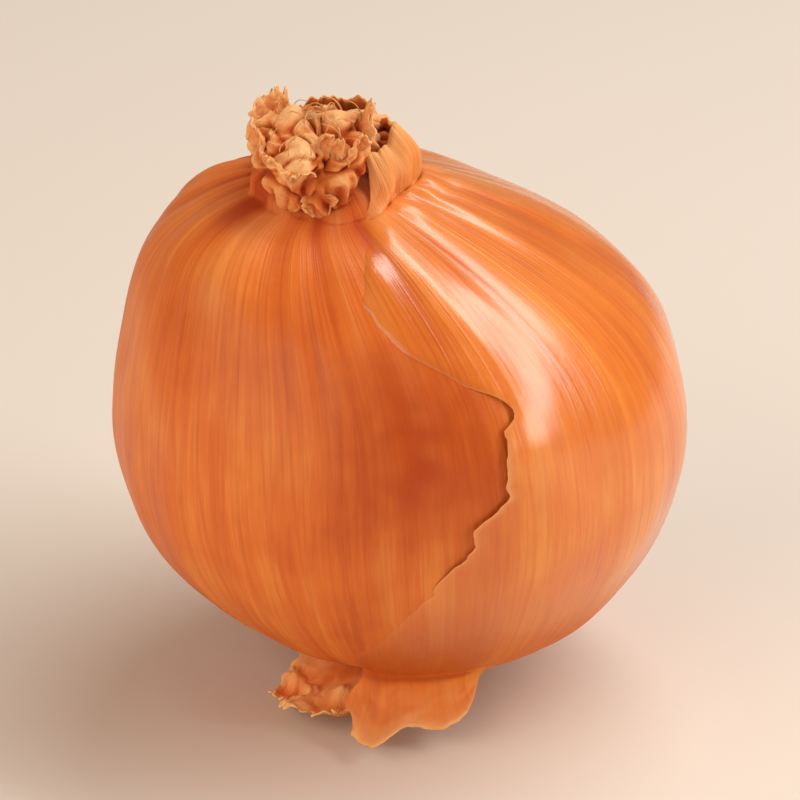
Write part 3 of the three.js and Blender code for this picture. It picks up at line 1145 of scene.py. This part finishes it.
    def flake(self, leaf: Flake) -> bpy.types.Object:
        """Builds one dried leaf end.

        Args:
            leaf: Its sizes.

        Returns:
            The finished piece.
        """
        place, turn = self.anchor(math.radians(leaf.azimuth), math.radians(leaf.climb), leaf.sink * MM)
        shape = Shape.sheet(self.flake_cells, self.flake_cells)
        unit = shape.places()
        across, along = 2 * unit[:, 0] - 1, unit[:, 1]
        rim = beside(across * leaf.width)
        side = beside(along * leaf.length, np.sign(across) * 9)
        nicks = 0.2 * rough(rim, 1.9, leaf.seed) + 0.1 * rough(rim, 0.6, leaf.seed)
        length = leaf.length * (1 - 0.25 * across**2 + nicks)
        width = leaf.width / 2 * (0.75 + 0.25 * np.sin(math.pi * along))
        sideways = across * width * (1 + 0.16 * rough(side, 1.4, leaf.seed + 1))
        start = math.radians(leaf.stand)
        tilt = start + math.radians(leaf.curl) * along
        bend = math.radians(leaf.curl) / length
        rise = (np.cos(start) - np.cos(tilt)) / bend
        run = (np.sin(tilt) - np.sin(start)) / bend
        flat = np.stack([sideways, run, rise], axis=1)
        lumps = 0.45 * rough(flat, (1.3, 2.2, 2.2), leaf.seed + 2) + 0.16 * rough(flat, 0.7, leaf.seed + 3)
        raised = leaf.cup * across * sideways * (0.4 + 0.6 * along) + lumps
        local = np.stack([sideways, run - raised * np.sin(tilt), rise + raised * np.cos(tilt)], axis=1)
        spun = np.array(turn @ Matrix.Rotation(math.radians(leaf.spin), 3, "Z"))
        shape.move(local * MM @ spun.T + place)
        edge = fade(1 - along, self.flake_pale_edge) + fade(1 - np.abs(across), self.flake_pale_edge)
        shape.marks["grain"] = np.stack([across * 0.5, along * 0.2, np.full_like(along, leaf.seed)], axis=1)
        # Pale along the edges and in the leaf's own tone, with painted light on the raised lumps. Painted
        # shade at the root, where the flake leaves the knot, and in the hollows.
        shape.marks["pale"] = np.clip(leaf.pale - 0.4 + 0.35 * edge + 0.4 * lumps, 0, 0.9)
        shape.marks["shade_and_patch"] = np.clip(0.75 - 1.6 * along - 0.4 * lumps, 0, 0.8)
        shape.bm.normal_update()
        piece = shape.finish(leaf.name, self.finishes.neck)
        thicken(piece, self.flake_thickness, 0.0)
        return place_piece(piece, Slot.BULB_SKIN)

    def fibre_path(self, dice: random.Random) -> np.ndarray:
        """Picks the route of one dry fibre out of the knot."""
        azimuth = dice.uniform(0, math.tau)
        place, turn = self.anchor(azimuth, math.radians(dice.uniform(25, 75)), 1.2 * MM)
        side = dice.uniform(-1.5, 1.5)
        stand = dice.uniform(1.4, 2.4)
        points = [(0, 0, 0), (0.3 * side, 0.8, 0.7 * stand), (side, 1.9, stand),
                  (1.7 * side, 3.0, stand * 0.8)]
        return np.array([np.array(turn @ Vector(point)) * MM + place for point in points])

    def build(self) -> list[bpy.types.Object]:
        """Builds the knot, and flakes and fibres if it has any flakes."""
        pieces = [self.body()] + [self.flake(leaf) for leaf in self.flakes]
        if not self.flakes:
            return pieces
        dice = random.Random(self.seed)
        strands = Strands(self.fibre_steps)
        for _ in range(self.fibres):
            strands.add(self.fibre_path(dice), dice.uniform(0.08, 0.16) * MM, self.fibre_tip)
        fibres = strands.finish("neck_fibres", self.finishes.fibre)
        return [*pieces, place_piece(fibres, Slot.BULB_SKIN)]


class Strands:
    """Many thin tapering strands in one mesh."""

    look_around: float = 0.02
    odd_direction: tuple[float, float, float] = (0.31, 0.22, 0.92)

    def __init__(self, steps: int, sides: int = 6) -> None:
        """Makes the strand that the others are copies of.

        Args:
            steps: Faces along a strand.
            sides: Faces around it.
        """
        one = bmesh.new()
        bmesh.ops.create_cone(one, cap_ends=True, segments=sides, radius1=1, radius2=1, depth=1)
        upright = [edge for edge in one.edges if abs(edge.verts[0].co.z - edge.verts[1].co.z) > 0.5]
        bmesh.ops.subdivide_edges(one, edges=upright, cuts=steps - 1, use_grid_fill=True)
        self.pattern = bpy.data.meshes.new("strand")
        one.to_mesh(self.pattern)
        one.free()
        self.unit = np.array([vert.co[:] for vert in self.pattern.vertices])
        self.steps = steps
        self.shape = Shape()

    def route(self, points: np.ndarray, share: np.ndarray) -> np.ndarray:
        """Places on a smooth curve through the points, for shares of its stops."""
        stops = np.linspace(0, 1, len(points))
        return np.stack([through(list(zip(stops, points[:, k])), share) for k in range(3)], axis=1)

    def add(self, points: np.ndarray, radius: float, tip: float) -> None:
        """Adds a strand.

        Args:
            points: The route that it follows, from its root to its tip.
            radius: Its radius at the root.
            tip: Its radius at the tip.
        """
        share = np.round((self.unit[:, 2] + 0.5) * self.steps) / self.steps
        run = self.route(points, share + self.look_around) - self.route(points, share - self.look_around)
        run /= np.linalg.norm(run, axis=1, keepdims=True)
        across = np.cross(points[-1] - points[0], self.odd_direction)
        first = across - run * (run @ across)[:, None]
        first /= np.linalg.norm(first, axis=1, keepdims=True)
        second = np.cross(run, first)
        width = radius + (tip - radius) * share
        ring = first * self.unit[:, :1] + second * self.unit[:, 1:2]
        places = self.route(points, share) + ring * width[:, None]
        done = len(self.shape.bm.verts)
        self.shape.bm.from_mesh(self.pattern)
        self.shape.bm.verts.ensure_lookup_table()
        for vert, place in zip(self.shape.bm.verts[done:], places):
            vert.co = place

    def finish(self, name: str, material: bpy.types.Material) -> bpy.types.Object:
        """Makes the object of all the strands."""
        bmesh.ops.recalc_face_normals(self.shape.bm, faces=self.shape.bm.faces[:])
        bpy.data.meshes.remove(self.pattern)
        return self.shape.finish(name, material)


# ---------------------------------------------------------------- the foot


@dataclass
class FootScrap:
    """A ragged scrap of an older skin that curls out from under the bulb at the front left."""

    form: BulbForm
    finishes: Finishes
    azimuth: float = math.radians(-127)
    root_radius: float = 13.5 * MM
    root_gap: float = 0.45 * MM
    tip_radius: float = 25.0 * MM
    tip_height: float = 3.0 * MM
    lowest: float = 0.7 * MM
    width: float = 13.5 * MM
    sag: float = 1.3 * MM
    cup: float = 0.9 * MM
    pale_edge: float = 1 / 8
    thickness: float = 0.22 * MM
    columns: int = 60
    rows: int = 50

    def build(self) -> bpy.types.Object:
        """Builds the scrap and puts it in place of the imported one."""
        form = self.form
        shape = Shape.sheet(self.columns, self.rows)
        unit = shape.places()
        across, outward = unit[:, 0] * 2 - 1, unit[:, 1]
        start_radius, start_height = form.lifted(form.share_at_radius(self.root_radius), self.root_gap)
        line = beside(across * 5)
        nicks = 0.11 * rough(line, 1.7, Pattern.SCRAP_EDGE) + 0.05 * rough(line, 0.5, Pattern.SCRAP_NICKS)
        reach = outward * (1 - 0.22 * across**2 + nicks)
        radius = start_radius + (self.tip_radius - start_radius) * reach
        line = beside(outward * 9, np.sign(across) * 7)
        nicks = 0.12 * rough(line, 2.1, Pattern.SCRAP_SIDE)
        nicks = nicks + 0.06 * rough(line, 0.7, Pattern.SCRAP_SIDE_NICKS)
        half = self.width / 2 * (1 - 0.3 * outward**2) * (1 + nicks)
        azimuth = self.azimuth + across * half / radius
        flat = np.stack([radius * np.cos(azimuth), radius * np.sin(azimuth), np.zeros_like(radius)], axis=1)
        creases = ridges(rough(flat, 2.0 * MM, Pattern.SCRAP_CREASES), 2)
        crumpled = 0.8 * rough(flat, 3.4 * MM, Pattern.SCRAP_CRUMPLE) + 0.35 * creases
        sag = self.sag * np.sin(math.pi * reach) - self.cup * across**2 * outward
        height = start_height + (self.tip_height - start_height) * reach - sag
        height = height + MM * crumpled * ease(outward, 0.1, 0.6)
        shape.move(form.grow(radius, azimuth, np.maximum(height, self.lowest)))
        edge = fade(1 - outward, self.pale_edge) + fade(1 - np.abs(across), self.pale_edge)
        shape.marks["grain"] = np.stack([azimuth * 2.5, outward * 0.15, np.zeros_like(azimuth)], axis=1)
        # Pale along the edges, with painted light on the raised crumples. Painted shade near the bulb, where
        # the scrap comes out from under it, and in the hollows.
        shape.marks["pale"] = np.clip(0.3 + 0.5 * edge + 0.3 * crumpled, 0, 1)
        shape.marks["shade_and_patch"] = np.clip(0.5 - outward - 0.3 * crumpled, 0, 0.6)
        shape.bm.normal_update()
        piece = shape.finish("foot_scrap_sheet", self.finishes.scrap)
        thicken(piece, self.thickness, 0.0)
        return place_piece(piece, Slot.DRY_SCRAP, "skin_scrap")


@dataclass
class Roots:
    """The knobbly root plate and the dried roots that grow from it, pressed flat by the onion."""

    form: BulbForm
    finishes: Finishes
    strands: int = 120
    strand_steps: int = 12
    seed: int = 12
    plate_rings: int = 30
    plate_around: int = 96
    plate_spread: float = 1.02
    plate_lowest: float = 0.15 * MM
    knob: float = 0.45 * MM
    grit: float = 0.2 * MM
    reach: float = 10.3 * MM
    lie: float = 0.45 * MM
    tip: float = 0.14 * MM
    stops: int = 7

    def plate(self) -> bpy.types.Object:
        """Builds the knobbly plate, flat where it rests."""
        form = self.form
        shape = Shape.tube(self.plate_rings, self.plate_around)
        unit = shape.places()
        azimuth = np.arctan2(unit[:, 1], unit[:, 0])
        share = unit[:, 2]
        radius = fullness(2 * share - 1, 3.0) * form.plate_radius * self.plate_spread
        height = 0.3 * MM + share * (form.plate_height + 0.1 * MM)
        flat = np.stack([radius * np.cos(azimuth), radius * np.sin(azimuth), height], axis=1)
        knobs = rough(flat, 1.7 * MM, Pattern.PLATE_KNOBS) * self.knob
        knobs = knobs + rough(flat, 0.8 * MM, Pattern.PLATE_GRAIN) * self.grit
        grown = flat * (1 + knobs / np.maximum(radius, 2 * MM))[:, None]
        grown[:, 2] = np.maximum(height + knobs * (share < 0.3) * 0.5, self.plate_lowest)
        shape.move(grown)
        return place_piece(shape.finish("root_plate", self.finishes.root), Slot.DRY_ROOT)

    def root_path(self, dice: random.Random) -> np.ndarray:
        """Picks the route of one dried root, out of the plate, down and along the floor."""
        azimuth = dice.uniform(0, math.tau)
        start = self.form.plate_radius * math.sqrt(dice.uniform(0.1, 1.0))
        reach = min(start + dice.uniform(1.5, 5.5) * MM, self.reach)
        drop = self.form.plate_height - 0.2 * MM
        points = []
        turn = dice.uniform(-0.7, 0.7)
        for share in np.linspace(0, 1, self.stops):
            radius = start + (reach - start) * share
            angle = azimuth + turn * share**1.5 + dice.uniform(-0.09, 0.09) * share
            height = self.lie + (drop - self.lie) * (1 - share) ** 2.2 + dice.uniform(0, 0.5) * MM * share
            points.append((radius * math.cos(angle), radius * math.sin(angle), height))
        return np.array(points)

    def build(self) -> list[bpy.types.Object]:
        """Builds the plate and the roots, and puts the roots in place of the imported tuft."""
        dice = random.Random(self.seed)
        strands = Strands(self.strand_steps)
        for _ in range(self.strands):
            strands.add(self.root_path(dice), dice.uniform(0.3, 0.48) * MM, self.tip)
        roots = strands.finish("root_strands", self.finishes.root)
        return [self.plate(), place_piece(roots, Slot.DRY_ROOT, "root_tuft")]


# ---------------------------------------------------------------- the studio


@dataclass(frozen=True)
class AreaLight:
    """A rectangular light that faces the onion.

    Args:
        name: The light's name.
        towards: Direction from the onion to the light.
        long_axis: Rough direction of the light's long side.
        size: Its length and width.
        power: Its power in watts.
        color: Its colour code.
        distance: How far from the onion it hangs.
    """

    name: str
    towards: tuple[float, float, float]
    long_axis: tuple[float, float, float]
    size: tuple[float, float]
    power: float
    color: str
    distance: float = 0.6

    def hang(self, middle: Vector) -> None:
        """Hangs the light so that it faces the onion's middle."""
        light = bpy.data.lights.new(self.name, "AREA")
        light.shape = "RECTANGLE"
        light.size, light.size_y = self.size
        light.energy = self.power
        light.color = srgb(self.color)[:3]
        back = Vector(self.towards).normalized()
        long_axis = Vector(self.long_axis)
        side = (long_axis - back * long_axis.dot(back)).normalized()
        turn = Matrix((side, back.cross(side), back)).transposed().to_4x4()
        lamp = bpy.data.objects.new(self.name, light)
        lamp.matrix_world = Matrix.Translation(middle + back * self.distance) @ turn
        bpy.context.scene.collection.objects.link(lamp)


# The key is a long strip, so that the skin shows one streak of gloss. The fill is a warm square.
LIGHTS = (
    AreaLight("key", (0.67, 0.03, 0.742), (0.58, -0.68, -0.45), (1.4, 0.16), 6.4, "fff8f0"),
    AreaLight("fill", (-0.75, -0.62, 0.3), (0, 0, 1), (0.7, 0.7), 3.2, "ffe8d2"),
)


@dataclass
class Studio:
    """Pale floor, soft light and the camera."""

    low: Vector
    high: Vector
    floor_size: float = 4.0
    floor_color: str = "e0dad2"
    floor_roughness: float = 0.7
    sky_color: str = "fde6cf"
    sky_strength: float = 0.26
    camera_tilt: float = math.radians(25)
    lens: float = 250.0
    field_width: float = 98 * MM
    aim_drop: float = 2.3 * MM

    def floor(self) -> None:
        """Lays the floor under the onion."""
        shape = Shape.sheet(1, 1)
        shape.move((shape.places() - np.array([0.5, 0.5, 0])) * self.floor_size)
        paint = Paint("floor")
        paint.shader.inputs["Base Color"].default_value = srgb(self.floor_color)
        paint.shader.inputs["Roughness"].default_value = self.floor_roughness
        shape.finish("floor", paint.material)

    def camera(self) -> None:
        """Sets up the camera at its tilt."""
        lens = bpy.data.cameras.new("camera")
        lens.lens = self.lens
        lens.clip_start = 0.01
        distance = self.field_width * self.lens / lens.sensor_width
        aim = (self.low + self.high) / 2 - Vector((0, 0, self.aim_drop))
        away = Vector((0, -math.cos(self.camera_tilt), math.sin(self.camera_tilt)))
        eye = bpy.data.objects.new("camera", lens)
        eye.location = aim + away * distance
        eye.rotation_euler = away.to_track_quat("Z", "Y").to_euler()
        bpy.context.scene.collection.objects.link(eye)
        bpy.context.scene.camera = eye

    def build(self) -> None:
        """Builds the floor, the lights, the camera and the pale surroundings."""
        self.floor()
        for light in LIGHTS:
            light.hang((self.low + self.high) / 2)
        self.camera()
        world = bpy.data.worlds.new("surroundings")
        world.use_nodes = True
        background = world.node_tree.nodes["Background"]
        background.inputs["Color"].default_value = srgb(self.sky_color)
        background.inputs["Strength"].default_value = self.sky_strength
        bpy.context.scene.world = world
        bpy.context.scene.view_settings.view_transform = "Standard"


def main() -> None:
    """Builds every piece in order and logs each piece's face count."""
    logging.basicConfig(level=logging.INFO, format="%(name)s: %(message)s")
    form = BulbForm.from_frame()
    finishes = Finishes.make()
    Bulb(form, finishes).build()
    OuterSkin(form, finishes).build()
    Knot(finishes, flakes=FLAKES).build()
    Knot(finishes, name="neck_inner_fold", middle=Vector((-8.0, 1.6, 66.7)) * MM,
         half=(6.6 * MM, 4.8 * MM, 5.6 * MM), fall=0.0, saddle=0.0, taper=0.0).build()
    FootScrap(form, finishes).build()
    Roots(form, finishes).build()
    Studio(*cad_bounds).build()


if __name__ == "__main__":
    main()
